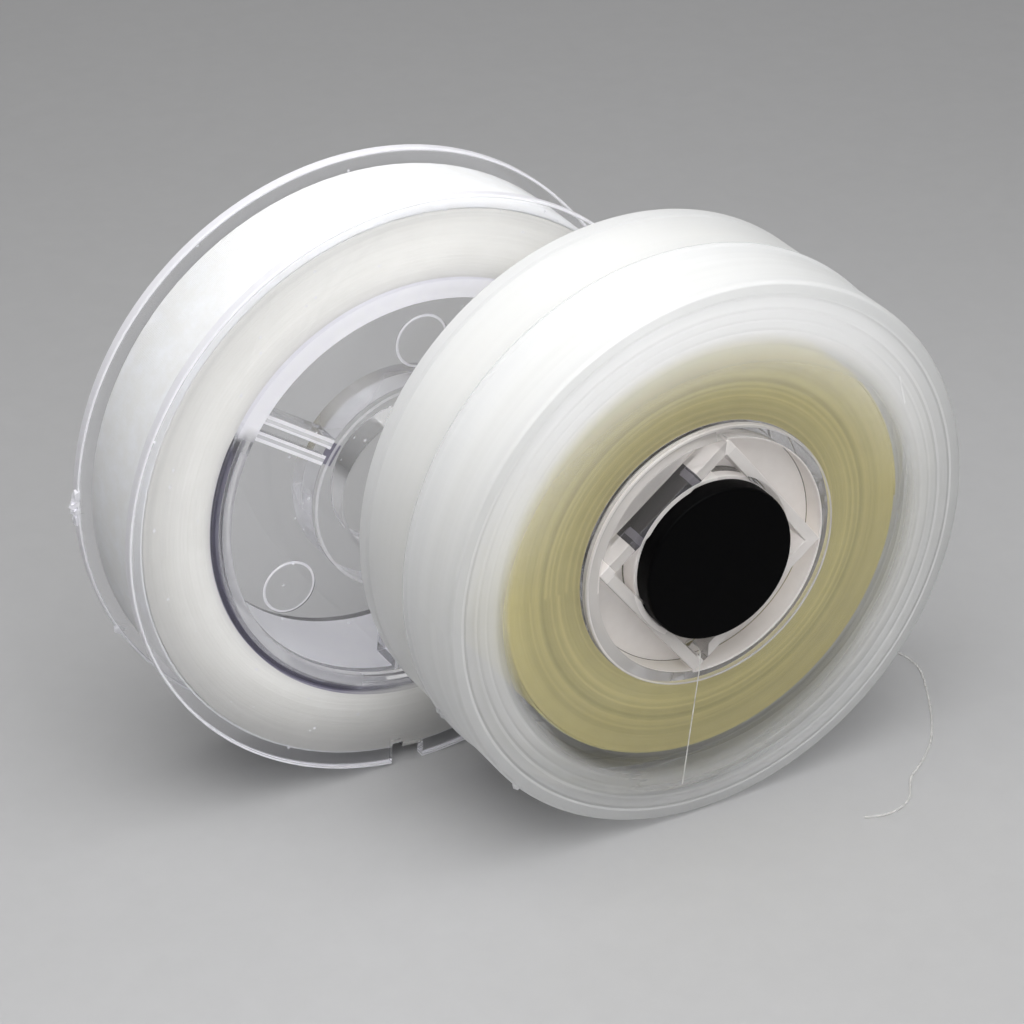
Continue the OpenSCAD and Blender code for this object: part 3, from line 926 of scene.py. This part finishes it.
def makeRearBackHalf():
    r, place = rear, rearPlace
    front = place["width"] / mm - r["flange"] - r["fit"]
    rim = place["radius"] / mm
    piece = spinProfile("rearBackHalf", place, [
        (r["collarInner"], 0),
        (rim, 0),
        (rim, r["flange"]),
        (r["drumOuter"], r["flange"]),
        (r["drumOuter"], front),
        (r["drumInner"], front),
        (r["drumInner"], r["flange"]),
        (r["collarInner"], r["flange"]),
    ])
    bevelEdges(piece, r["edge"])
    for angle, out, depth, size in r["burrs"]:
        addBurr(piece, place, angle, out, depth, size)
    smoothShade(piece)
    dressed(piece, clearLook, "rear_spool", "clear_plastic", "rear_back_half")


# wound line, in mm: "shade" is a ramp of painted shade, tones from the inner to the outer radius that
# darken the colour
whiteWinding = {
    "inner": 25.25,
    "outer": 33.4,
    "core": 33.1,                    # the inner layers end here, below the outer turns
    "low": 1.25,
    "high": 13.75,
    "wire": 0.25,
    "turns": 48,
    "layer": 0.9,                    # radial step of the layers that show in the side
    "dip": 0.012,
    "crown": 27.3,                   # the side stands out most at this radius
    "swell": 0.075,
    "endSwell": 0.035,
    "shade": ((0, 0.96), (0.12, 1), (0.35, 0.96), (0.8, 0.88), (1, 0.8)),
    "colours": (rgb(0.94, 0.93, 0.885), rgb(0.83, 0.82, 0.77)),
    "skin": rgb(0.83, 0.84, 0.865),
    "gloss": 0.5,
}
khakiWinding = {
    "inner": 15.71,
    "outer": 25.0,
    "core": 24.7,
    "low": 2.25,
    "high": 18.95,
    "wire": 0.25,
    "turns": 64,
    "layer": 1.1,
    "dip": 0.02,
    "crown": 19.2,
    "swell": 0.055,
    "endSwell": 0.02,
    "shade": ((0, 0.62), (0.08, 0.68), (0.42, 0.69), (0.5, 0.6), (0.55, 0.75), (0.7, 0.76),
              (0.78, 0.9), (0.94, 1), (1, 0.92)),
    "colours": (rgb(0.88, 0.785, 0.355), rgb(0.74, 0.655, 0.29)),
    "skin": rgb(0.72, 0.66, 0.33),
    "gloss": 0.25,
}


def layeredSide(winding):
    # the side of a winding as a row of flat layers with a dip between them
    w = winding
    count = round((w["core"] - w["inner"]) / w["layer"])
    step = (w["core"] - w["inner"]) / count
    side = []
    for i in range(count):
        start = w["inner"] + i * step
        side += [(start, w["dip"]), (start + step * 0.3, 0), (start + step * 0.7, 0)]
    return side + [(w["core"], w["dip"])]


def makeLineBody(name, place, winding, look, body, slot, node):
    side = layeredSide(winding)
    profile = [(radius, winding["low"] + dip) for radius, dip in side]
    profile += [(radius, winding["high"] - dip) for radius, dip in reversed(side)]
    piece = spinProfile(name, place, profile, 144)
    smoothShade(piece)
    dressed(piece, look, body, slot, node)


def makeLineTurns(name, place, winding, look, body, slot, node):
    # one strand wound from flange to flange, by a small circle screwed round the axis
    w = winding
    run = w["high"] - w["low"] - w["wire"]
    sides = 8
    deselectAll()
    bpy.ops.mesh.primitive_circle_add(vertices=sides, radius=w["wire"] / 2 * mm, fill_type="NGON",
                                      location=onSpool(place, 0, w["low"] + w["wire"] / 2))
    bpy.ops.object.mode_set(mode="EDIT")
    bpy.ops.mesh.select_all(action="SELECT")
    bpy.ops.transform.translate(value=((w["outer"] - w["wire"] / 2) * mm, 0, 0))
    bpy.ops.mesh.delete(type="ONLY_FACE")
    bpy.ops.object.mode_set(mode="OBJECT")
    piece = named(name)
    screw = piece.modifiers.new("turns", "SCREW")
    screw.axis = "Y"
    screw.angle = 2 * math.pi
    screw.screw_offset = -run / w["turns"] * mm
    screw.iterations = w["turns"]
    screw.steps = screw.render_steps = 96
    screw.use_smooth_shade = True
    bpy.ops.object.modifier_apply(modifier=screw.name)
    bpy.ops.object.transform_apply(location=True, rotation=False, scale=False)
    bpy.ops.object.mode_set(mode="EDIT")
    bpy.ops.mesh.select_all(action="SELECT")
    bpy.ops.mesh.fill_holes(sides=sides)
    bpy.ops.mesh.normals_make_consistent(inside=False)
    bpy.ops.object.mode_set(mode="OBJECT")
    dressed(piece, look, body, slot, node)


# the frosted case, in mm and degrees
case = {
    "face": 1.2,
    "frontRadius": 32.5,
    "backRadius": 32.2,
    "wall": 1.3,
    "hole": 15.72,
    "cove": ((1.9, 0), (0.9, 0.9), (0.25, 2.2), (0, 3.8)),   # in from the wall, back from the face
    "corner": 0.3,
    "seam": 11.2,
    "seamFit": 0.02,
    "ridge": 32.75,
    "ridgeFront": (0.35, 0.6),       # its flat and its foot, in front of the seam
    "ridgeBack": (0.1, 0.35),        # the same behind it
    "backGroove": ((1.8, 0), (2.05, 0.25), (2.3, 0.25), (2.55, 0)),   # depth, and in from the skirt
    "lip": 31.15,
    "lipWall": 0.9,
    "lipHalf": 2.0,                  # the lip's length on each side of the seam
    "lipFoot": 2.9,
    "slit": (0.6, 0.9),              # width, height
    "edge": 0.15,
    "backEdge": 0.06,
    # angle, radius, depth and size of each lump on the front shell
    "burrs": (
        (-138.4, 32.3, 20.7, (1.0, 0.8, 0.9)),
        (-151.3, 32.6, 11.45, (0.6, 0.4, 0.9)),
        (-149.6, 32.6, 11.45, (0.5, 0.4, 0.6)),
    ),
}


def makeCaseFrontShell():
    c, place = case, casePlace
    width = place["width"] / mm
    inner = c["frontRadius"] - c["wall"]
    inside = width - c["face"]
    flat, foot = c["ridgeFront"]
    piece = spinProfile("caseFrontShell", place, [
        (c["hole"], inside),
        *[(inner - inwards, inside - back) for inwards, back in c["cove"]],
        (inner, c["seam"]),
        (c["ridge"], c["seam"]),
        (c["ridge"], c["seam"] + flat),
        (c["frontRadius"], c["seam"] + foot),
        (c["frontRadius"], width - c["corner"]),
        (c["frontRadius"] - c["corner"], width),
        (c["hole"], width),
    ])
    slitWidth, slitHeight = c["slit"]
    slit = slab(place, tail["slitAngle"], inner - past, c["ridge"] + past, slitWidth,
                c["seam"] - past, c["seam"] + slitHeight)
    combine(piece, slit, "DIFFERENCE")
    bevelEdges(piece, c["edge"])
    for angle, out, depth, size in c["burrs"]:
        addBurr(piece, place, angle, out, depth, size, weld=False)
    smoothShade(piece)
    dressed(piece, frostedLook, "case", "foggy_plastic", "case_front_shell")


def makeCaseBackShell():
    c, place = case, casePlace
    inner = c["backRadius"] - c["wall"]
    lipInner = c["lip"] - c["lipWall"]
    flat, foot = c["ridgeBack"]
    piece = spinProfile("caseBackShell", place, [
        (c["hole"], 0),
        (c["backRadius"] - c["corner"], 0),
        (c["backRadius"], c["corner"]),
        *[(c["backRadius"] - inwards, depth) for depth, inwards in c["backGroove"]],
        (c["backRadius"], c["seam"] - foot),
        (c["ridge"], c["seam"] - flat),
        (c["ridge"], c["seam"] - c["seamFit"]),
        (c["lip"], c["seam"] - c["seamFit"]),
        (c["lip"], c["seam"] + c["lipHalf"]),
        (lipInner, c["seam"] + c["lipHalf"]),
        (lipInner, c["seam"] - c["lipHalf"]),
        (inner, c["seam"] - c["lipFoot"]),
        (inner, c["face"]),
        (c["hole"], c["face"]),
    ])
    bevelEdges(piece, c["backEdge"], 1)
    smoothShade(piece)
    dressed(piece, frostedLook, "case", "foggy_plastic", "case_back_shell")


# the reel inside the case
reel = {
    "ring": 15.66,
    "ringInner": 14.1,
    "low": 0.6,
    "high": 20.6,
    "middle": 10.6,
    "step": (1.0, 2.5),              # the step inside the ring: depth and half length
    "fit": 0.05,                     # between the two halves, round the step
    "seamFit": 0.02,
    "flangeRadius": 25.8,
    "flangeFront": 19.8,
    "flange": 0.8,
    "plateFront": 17.8,
    "plate": 1.2,
    "bossRadius": 9.5,
    "bossFront": 20.1,
    "bossLength": 7.0,
    "backBossLength": 7.4,
    "bore": 8.0,
    "squareHalf": 10.05,
    "squareWall": 1.35,
    "squareTurn": 38,
    "capRoom": 9.3,
    "edge": 0.1,
}


def squareFrame(place, half, wall, turn, low, high):
    hole = half - wall
    outer = slab(place, turn, -half, half, 2 * half, low, high)
    inner = slab(place, turn, -hole, hole, 2 * hole, low - past, high + past)
    combine(outer, inner, "DIFFERENCE")
    return outer


def capRoom(place, radius, low, high):
    deselectAll()
    bpy.ops.mesh.primitive_cylinder_add(
        vertices=96, radius=radius * mm, depth=(high - low) * mm,
        location=onSpool(place, 0, (low + high) / 2), rotation=(math.radians(90), 0, 0))
    bpy.ops.object.transform_apply(location=True, rotation=True, scale=True)
    return bpy.context.object


def makeReelFrontHalf():
    q, place = reel, casePlace
    stepIn, stepHalf = q["step"]
    piece = spinProfile("reelFrontHalf", place, [
        (q["bore"], q["bossFront"] - q["bossLength"]),
        (q["bossRadius"], q["bossFront"] - q["bossLength"]),
        (q["bossRadius"], q["plateFront"] - q["plate"]),
        (q["ringInner"], q["plateFront"] - q["plate"]),
        (q["ringInner"], q["middle"] + stepHalf),
        (q["ringInner"] - stepIn, q["middle"] + stepHalf),
        (q["ringInner"] - stepIn, q["middle"] - stepHalf),
        (q["ringInner"] - q["fit"], q["middle"] - stepHalf),
        (q["ringInner"] - q["fit"], q["middle"]),
        (q["ring"], q["middle"]),
        (q["ring"], q["flangeFront"] - q["flange"]),
        (q["flangeRadius"], q["flangeFront"] - q["flange"]),
        (q["flangeRadius"], q["flangeFront"]),
        (q["ring"], q["flangeFront"]),
        (q["ring"], q["high"]),
        (q["ringInner"], q["high"]),
        (q["ringInner"], q["plateFront"]),
        (q["bossRadius"], q["plateFront"]),
        (q["bossRadius"], q["bossFront"]),
        (q["bore"], q["bossFront"]),
    ])
    bevelEdges(piece, q["edge"])
    frameBlock = squareFrame(place, q["squareHalf"], q["squareWall"], q["squareTurn"],
                             q["plateFront"] - q["plate"] / 2, q["high"])
    bevelEdges(frameBlock, q["edge"])
    combine(frameBlock, capRoom(place, q["capRoom"], q["bossFront"], q["high"] + past), "DIFFERENCE")
    combine(piece, frameBlock, "UNION")
    smoothShade(piece)
    dressed(piece, hubLook, "reel", "hub_plastic", "reel_front_half")


def makeReelBackHalf():
    q, place = reel, casePlace
    plateBack = place["width"] / mm - q["plateFront"]
    flangeBack = place["width"] / mm - q["flangeFront"]
    piece = spinProfile("reelBackHalf", place, [
        (q["bore"], q["low"]),
        (q["bossRadius"], q["low"]),
        (q["bossRadius"], plateBack),
        (q["ringInner"], plateBack),
        (q["ringInner"], q["low"]),
        (q["ring"], q["low"]),
        (q["ring"], flangeBack),
        (q["flangeRadius"], flangeBack),
        (q["flangeRadius"], flangeBack + q["flange"]),
        (q["ring"], flangeBack + q["flange"]),
        (q["ring"], q["middle"] - q["seamFit"]),
        (q["ringInner"], q["middle"] - q["seamFit"]),
        (q["ringInner"], plateBack + q["plate"]),
        (q["bossRadius"], plateBack + q["plate"]),
        (q["bossRadius"], q["low"] + q["backBossLength"]),
        (q["bore"], q["low"] + q["backBossLength"]),
    ])
    bevelEdges(piece, q["edge"])
    smoothShade(piece)
    dressed(piece, hubLook, "reel", "hub_plastic", "reel_back_half")


# the inner end of the line, out of a corner of the frame and across the front face
lineEnd = {
    "diameter": 0.3,
    "drawn": 0.4,                    # share of the diameter that is drawn
    "seen": 0.6,
    "angle": -97,
    "lift": 0.1,
    "rise": ((10.9, 0), (10.9, 1.6), (11.1, 2.7)),    # radius, and height over the hub's plate
    # radius, and height over its level on the face
    "run": ((11.8, -0.3), (13, -0.04), (14.4, 0), (18, 0), (22, 0), (25.4, 0), (28.2, 0)),
}


def makeLineEnd():
    e, place = lineEnd, casePlace
    level = place["width"] / mm + e["diameter"] / 2 + e["lift"]
    steps = [(radius, reel["plateFront"] + up) for radius, up in e["rise"]]
    steps += [(radius, level + up) for radius, up in e["run"]]
    points = smoothRoute([onSpool(place, radius, depth, e["angle"]) for radius, depth in steps], 4)
    piece = strandCurve("reelLineEnd", points, e["diameter"] * e["drawn"])
    dressed(piece, strandLook, "reel", "loose_line", "reel_line_end")


# the cap in the middle of the reel
cap = {
    "radius": 9.15,
    "seat": 20.15,
    "thickness": 2.3,
    "edge": 0.35,
    "softer": 0.3,                   # the edge is cut twice, the second cut by this share
    "flatRadius": 5.49,
    "fall": 0.01,                    # from the flat to the edge
    "stemRadius": 7.95,
    "stemLength": 6.0,
    "notchAngle": -159,
    "notch": (0.6, 1.0, 0.5),        # depth, width, height
    "bevel": 0.06,
}


def makeCap():
    c, place = cap, casePlace
    top = c["seat"] + c["thickness"]
    stemEnd = c["seat"] - c["stemLength"]
    softer = c["edge"] * c["softer"]
    piece = spinProfile("centreCap", place, [
        (0, stemEnd),
        (c["stemRadius"] - c["edge"], stemEnd),
        (c["stemRadius"], stemEnd + c["edge"]),
        (c["stemRadius"], c["seat"]),
        (c["radius"], c["seat"]),
        (c["radius"], top - c["edge"]),
        (c["radius"] - softer, top - softer),
        (c["radius"] - c["edge"], top - c["fall"]),
        (c["flatRadius"], top),
        (0, top),
    ], 128)
    inwards, width, up = c["notch"]
    notch = slab(place, c["notchAngle"], c["radius"] - inwards, c["radius"] + past, width,
                 c["seat"] - past, c["seat"] + up)
    combine(piece, notch, "DIFFERENCE")
    bevelEdges(piece, c["bevel"])
    smoothShade(piece, 40)
    dressed(piece, blackLook, "cap", "black_cap", "centre_cap")


clearLook = clearPlastic("clearPolystyrene", rearPlace, clearMarks, clearGlintsAndShade)
hubLook = clearPlastic("hubPolystyrene", casePlace, hubMarks, hubGlintsAndShade)
frostedLook = frostedPlastic("frostedPlastic", casePlace)
whiteLook = woundLine("whiteLine", rearPlace, whiteWinding)
khakiLook = woundLine("khakiLine", casePlace, khakiWinding)
tailLook = singleLine("looseTail", tail["seen"])
strandLook = singleLine("looseEnd", lineEnd["seen"])
blackLook = blackPlastic("blackCapPlastic")
print("finishes ready")

makeTail()
makeRearFrontHalf()
makeRearBackHalf()
makeLineBody("rearLineBody", rearPlace, whiteWinding, whiteLook,
             "rear_spool", "white_line", "rear_line_core")
makeLineTurns("rearLineTurns", rearPlace, whiteWinding, whiteLook,
              "rear_spool", "white_line", "rear_line_turns")
makeCaseFrontShell()
makeCaseBackShell()
makeReelFrontHalf()
makeReelBackHalf()
makeLineBody("reelLineBody", casePlace, khakiWinding, khakiLook,
             "reel", "khaki_line", "reel_line_core")
makeLineTurns("reelLineTurns", casePlace, khakiWinding, khakiLook,
              "reel", "khaki_line", "reel_line_turns")
makeLineEnd()
makeCap()


# floor and lamps, in metres and watts
studio = {
    "floorSize": 8.0,
    "worldTop": 0.42,
    "worldLow": 0.14,
    "lamps": [
        # name, place, aim, size, power
        ("overheadSoftbox", (-0.045, -0.1, 0.23), (-0.03, -0.06, 0), 0.26, 0.75),
        ("frontSoftbox", (0.02, -0.78, 0.34), (0.0, -0.01, 0), 0.45, 0.92),
        ("sideFill", (0.7, -0.2, 0.4), (0.0, -0.01, 0), 0.5, 0.5),
        ("backFill", (0.25, 0.75, 0.4), (0.0, 0, 0), 0.6, 0.35),
    ],
}


def makeStage():
    deselectAll()
    bpy.ops.mesh.primitive_plane_add(size=studio["floorSize"], location=(0, 0, floorLevel))
    bpy.ops.object.transform_apply(location=True, rotation=False, scale=False)
    floor = named("studioFloor")
    floor.data.materials.append(paleFloor("paleFloor").material)


def makeLights():
    for name, place, aim, size, power in studio["lamps"]:
        turn = (Vector(aim) - Vector(place)).to_track_quat("-Z", "Y").to_euler()
        bpy.ops.object.light_add(type="AREA", location=place, rotation=turn)
        lamp = bpy.context.object
        lamp.name = name
        lamp.data.shape = "SQUARE"
        lamp.data.size = size
        lamp.data.energy = power
    # a dim surround, brighter upwards, for the clear edges to pick up
    world = bpy.data.worlds.new("softStudio")
    world.use_nodes = True
    tree = world.node_tree
    height = tree.nodes.new("ShaderNodeSeparateXYZ")
    tree.links.new(tree.nodes.new("ShaderNodeTexCoord").outputs["Generated"], height.inputs[0])
    level = tree.nodes.new("ShaderNodeMapRange")
    level.inputs["To Min"].default_value = studio["worldLow"]
    level.inputs["To Max"].default_value = studio["worldTop"]
    tree.links.new(height.outputs["Z"], level.inputs["Value"])
    tree.links.new(level.outputs[0], tree.nodes["Background"].inputs["Strength"])
    tree.nodes["Background"].inputs["Color"].default_value = rgb(1, 1, 1)
    bpy.context.scene.world = world


makeStage()
makeLights()

scene = bpy.context.scene
scene.view_settings.view_transform = "Standard"
scene.cycles.max_bounces = 20
scene.cycles.transmission_bounces = 18
scene.cycles.transparent_max_bounces = 24
scene.cycles.sample_clamp_indirect = 4

print("all pieces made")
